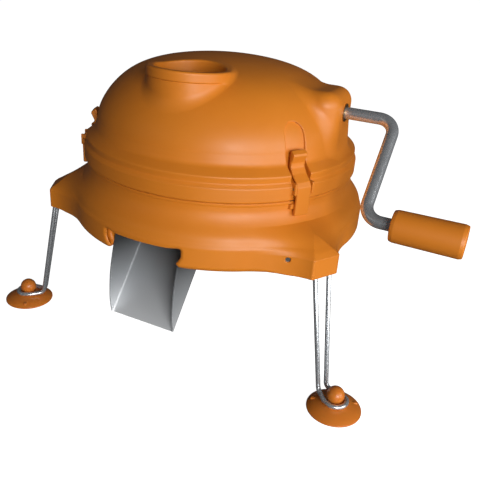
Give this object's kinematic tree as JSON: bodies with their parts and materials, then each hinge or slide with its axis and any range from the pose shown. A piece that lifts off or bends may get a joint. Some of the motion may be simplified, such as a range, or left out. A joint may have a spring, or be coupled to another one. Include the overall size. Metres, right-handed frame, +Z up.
{
  "type": "manual rotary food grinder",
  "caption": "Hand-cranked food grinder with a domed feed cover, a ring base on wire legs with suction cups, and a folded steel chute at the front.",
  "frame": {"origin": "middle of the outline seen from above, at the height of the suction cup rims", "axes": "+X towards the crank handle and the longest extent, -Y towards the discharge chute, +Z up and the shortest extent"},
  "size_m": [0.4222, 0.3506, 0.255],
  "materials": {
    "orange_plastic": "satin",
    "orange_rubber": "satin",
    "black_rubber": "matt",
    "polished_rod": "polished",
    "chute_sheet": "fine brushed",
    "cast_aluminium": "satin",
    "blade_steel": "brushed",
    "screw_steel": "satin",
    "gear_metal": "satin",
    "bronze": "satin"
  },
  "bodies": {
    "frame": {"dome_cover": "orange_plastic", "base_housing": "orange_plastic", "suction_cup_1": "orange_rubber", "suction_cup_2": "orange_rubber", "suction_cup_3": "orange_rubber", "seal_ring": "black_rubber", "leg_wire_1": "polished_rod", "leg_wire_2": "polished_rod", "leg_wire_3": "polished_rod", "discharge_chute": "chute_sheet", "sweep_plate": "cast_aluminium", "plate_screws": "screw_steel", "chute_rivets": "screw_steel", "latch_pin_1": "screw_steel", "latch_pin_2": "screw_steel", "latch_pin_3": "screw_steel", "leg_pin_1": "screw_steel", "leg_pin_2": "screw_steel", "leg_pin_3": "screw_steel", "shaft_bush_outer": "bronze", "shaft_bush_inner": "bronze", "spindle_bush_upper": "bronze", "spindle_bush_lower": "bronze"},
    "rotor": {"cutter_disc": "blade_steel", "blade_1": "blade_steel", "blade_2": "blade_steel", "blade_3": "blade_steel", "blade_screws_1": "screw_steel", "blade_screws_2": "screw_steel", "blade_screws_3": "screw_steel", "disc_nut": "screw_steel", "spindle_clip": "screw_steel", "spindle": "screw_steel", "bevel_gear": "gear_metal"},
    "crank": {"grip_cap": "orange_plastic", "crank_rod": "polished_rod", "shaft_collar": "screw_steel", "bevel_pinion": "gear_metal"},
    "grip": {"crank_grip": "orange_plastic"},
    "lever_1": {"latch_1": "orange_plastic"},
    "lever_2": {"latch_2": "orange_plastic"},
    "lever_3": {"latch_3": "orange_plastic"}
  },
  "joints": [
    {"name": "rotor_spin", "type": "hinge", "parent": "frame", "child": "rotor", "pos_m": [-0.02266, -0.03875, 0.19], "axis": [0, 0, 1], "continuous": true},
    {"name": "crank_spin", "type": "hinge", "parent": "frame", "child": "crank", "pos_m": [0.07734, -0.03875, 0.2217], "axis": [1, 0, 0], "continuous": true},
    {"name": "grip_spin", "type": "hinge", "parent": "crank", "child": "grip", "pos_m": [0.18414, -0.10715, 0.1604], "axis": [1, 0, 0], "continuous": true},
    {"name": "latch_1_hinge", "type": "hinge", "parent": "frame", "child": "lever_1", "pos_m": [0.08453, -0.10573, 0.1735], "axis": [-0.5299, -0.848, 0], "range_deg": [0, 6]},
    {"name": "latch_2_hinge", "type": "hinge", "parent": "frame", "child": "lever_2", "pos_m": [-0.01825, 0.08757, 0.1735], "axis": [0.9994, -0.0349, 0], "range_deg": [0, 6]},
    {"name": "latch_3_hinge", "type": "hinge", "parent": "frame", "child": "lever_3", "pos_m": [-0.13426, -0.09809, 0.1735], "axis": [-0.4695, 0.8829, 0], "range_deg": [0, 6]}
  ],
  "couplings": [
    {"joint": "crank_spin", "follows": "rotor_spin", "ratio": 2}
  ]
}
